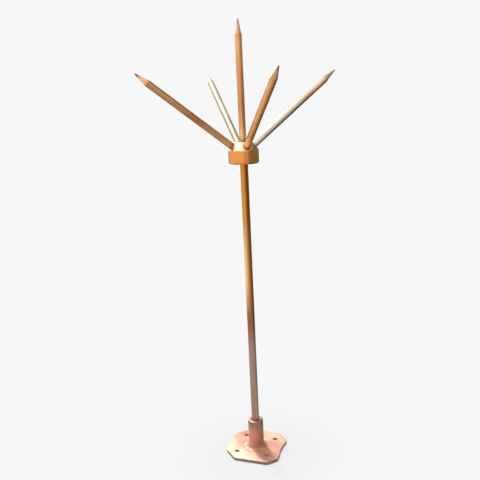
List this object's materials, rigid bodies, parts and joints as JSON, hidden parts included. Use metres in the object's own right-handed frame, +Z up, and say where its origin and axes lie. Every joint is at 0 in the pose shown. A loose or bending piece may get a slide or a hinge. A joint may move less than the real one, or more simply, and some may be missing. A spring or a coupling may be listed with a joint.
{
  "type": "lightning rod",
  "caption": "Free-standing air terminal: an upright round rod on a bolt-down cast base, with a faceted head that carries an upright pointed spike and splayed ones.",
  "frame": {"origin": "middle of the base plate's underside, under the rod's axis", "axes": "+Z up along the rod, +X and +Y square to the base plate's flat sides"},
  "size_m": [0.387, 0.3786, 1.073],
  "materials": {
    "cast_copper": "cast copper alloy, lightly polished, with a faint skin texture",
    "drawn_copper": "drawn copper, satin, duller and browner over its lower third",
    "head_copper": "turned and milled copper, bright",
    "spike_copper": "drawn copper, satin, with turned points"
  },
  "bodies": {
    "root": {"base": "cast_copper", "rod": "drawn_copper", "spike_hub": "head_copper", "centre_spike": "spike_copper", "side_spike_1": "spike_copper", "side_spike_2": "spike_copper", "side_spike_3": "spike_copper", "side_spike_4": "spike_copper"}
  },
  "joints": []
}
